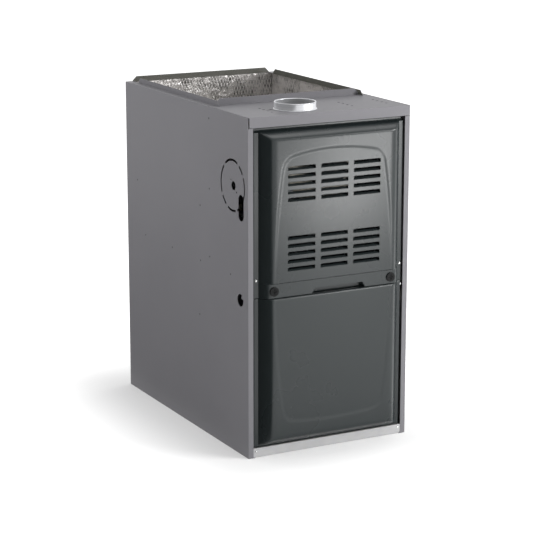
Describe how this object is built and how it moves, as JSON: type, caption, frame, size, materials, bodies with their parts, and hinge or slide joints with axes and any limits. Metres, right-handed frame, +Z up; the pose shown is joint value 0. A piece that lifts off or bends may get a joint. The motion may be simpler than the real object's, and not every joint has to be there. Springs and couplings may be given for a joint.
{
  "type": "forced air gas furnace",
  "caption": "Upflow forced-air gas furnace: grey sheet casing, louvred charcoal doors with quarter-turn knobs, flue collar and supply opening on top, full burner and blower gear inside.",
  "frame": {"origin": "on the floor at the middle of the footprint, doors included", "axes": "+X to the right seen from the front, +Y to the back, +Z up; the doors face -Y"},
  "size_m": [0.445, 0.735, 0.856],
  "materials": {
    "casing_paint": "satin grey prepainted steel",
    "door_paint": "satin charcoal prepainted steel",
    "galvanised_steel": "galvanised sheet with faint spangle",
    "rail_steel": "bright galvanised strip",
    "collar_steel": "bright spun steel",
    "foil_insulation": "crinkled foil facing with a scrim of threads",
    "aluminised_steel": "dull aluminised sheet",
    "pipe_black": "black pipe",
    "brass": "turned",
    "valve_casting": "die-cast",
    "motor_paint": "black baked paint",
    "shaft_steel": "ground steel",
    "screw_zinc": "bright zinc plate",
    "knob_plastic": "moulded black",
    "dial_plastic": "moulded off-white",
    "button_plastic": "moulded red",
    "board_laminate": "green solder resist",
    "hose_rubber": "black rubber and braid",
    "ceramic": "unglazed"
  },
  "bodies": {
    "casing": {"left_side_panel": "casing_paint", "right_side_panel": "casing_paint", "back_panel": "casing_paint", "top_cap": "casing_paint", "base_pan": "galvanised_steel", "vestibule_panel": "galvanised_steel", "blower_deck": "galvanised_steel", "burner_box": "galvanised_steel", "control_panel": "galvanised_steel", "junction_box": "galvanised_steel", "blower_wrap": "galvanised_steel", "blower_side_left": "galvanised_steel", "blower_side_right": "galvanised_steel", "motor_mount": "galvanised_steel", "bottom_rail": "rail_steel", "flue_collar": "collar_steel", "flue_outlet_pipe": "collar_steel", "insulation_left": "foil_insulation", "insulation_right": "foil_insulation", "insulation_back": "foil_insulation", "heat_exchanger_tubes": "aluminised_steel", "burners": "aluminised_steel", "collector_box": "aluminised_steel", "inducer_housing": "aluminised_steel", "gas_manifold": "pipe_black", "gas_orifices": "brass", "gas_valve": "valve_casting", "inducer_motor": "motor_paint", "blower_motor": "motor_paint", "transformer": "motor_paint", "capacitor": "shaft_steel", "casing_screws": "screw_zinc", "rollout_switches": "knob_plastic", "limit_switch": "knob_plastic", "pressure_switch": "knob_plastic", "door_switch": "dial_plastic", "control_board": "board_laminate", "pressure_hose": "hose_rubber", "deck_grommet": "hose_rubber", "wiring_harness": "hose_rubber", "igniter": "ceramic", "flame_sensor": "ceramic"},
    "upper_door": {"upper_door": "door_paint", "door_screws": "screw_zinc"},
    "lower_door": {"lower_door": "door_paint"},
    "knob_left": {"knob_left": "knob_plastic"},
    "knob_right": {"knob_right": "knob_plastic"},
    "gas_valve_knob": {"gas_valve_knob": "dial_plastic"},
    "blower_rotor": {"blower_wheel": "galvanised_steel", "blower_shaft": "shaft_steel"},
    "inducer_rotor": {"inducer_wheel": "aluminised_steel", "inducer_cooling_fan": "motor_paint"},
    "door_switch_plunger": {"door_switch_plunger": "dial_plastic"},
    "rollout_button_left": {"rollout_button_left": "button_plastic"},
    "rollout_button_right": {"rollout_button_right": "button_plastic"}
  },
  "joints": [
    {"name": "upper_door_slide", "type": "slide", "parent": "casing", "child": "upper_door", "axis": [0, -1, 0], "range_m": [0, 0.25]},
    {"name": "lower_door_slide", "type": "slide", "parent": "casing", "child": "lower_door", "axis": [0, -1, 0], "range_m": [0, 0.25]},
    {"name": "knob_left_turn", "type": "hinge", "parent": "upper_door", "child": "knob_left", "pos_m": [-0.1623, -0.3615, 0.4175], "axis": [0, 1, 0], "range_deg": [0, 90]},
    {"name": "knob_right_turn", "type": "hinge", "parent": "upper_door", "child": "knob_right", "pos_m": [0.1623, -0.3615, 0.4175], "axis": [0, 1, 0], "range_deg": [0, 90]},
    {"name": "gas_valve_knob_turn", "type": "hinge", "parent": "casing", "child": "gas_valve_knob", "pos_m": [-0.118, -0.3435, 0.617], "axis": [0, 1, 0], "range_deg": [0, 90]},
    {"name": "blower_wheel_spin", "type": "hinge", "parent": "casing", "child": "blower_rotor", "pos_m": [0, 0.0565, 0.235], "axis": [1, 0, 0], "continuous": true},
    {"name": "inducer_wheel_spin", "type": "hinge", "parent": "casing", "child": "inducer_rotor", "pos_m": [0.008, -0.2915, 0.7], "axis": [0, 1, 0], "continuous": true},
    {"name": "door_switch_travel", "type": "slide", "parent": "casing", "child": "door_switch_plunger", "axis": [0, -1, 0], "range_m": [0, 0.006]},
    {"name": "rollout_left_press", "type": "slide", "parent": "casing", "child": "rollout_button_left", "axis": [0, 0, -1], "range_m": [0, 0.0015], "stiffness_N_per_m": 400},
    {"name": "rollout_right_press", "type": "slide", "parent": "casing", "child": "rollout_button_right", "axis": [0, 0, -1], "range_m": [0, 0.0015], "stiffness_N_per_m": 400}
  ],
  "couplings": [
    {"joint": "door_switch_travel", "follows": "lower_door_slide", "ratio": 0.024}
  ]
}
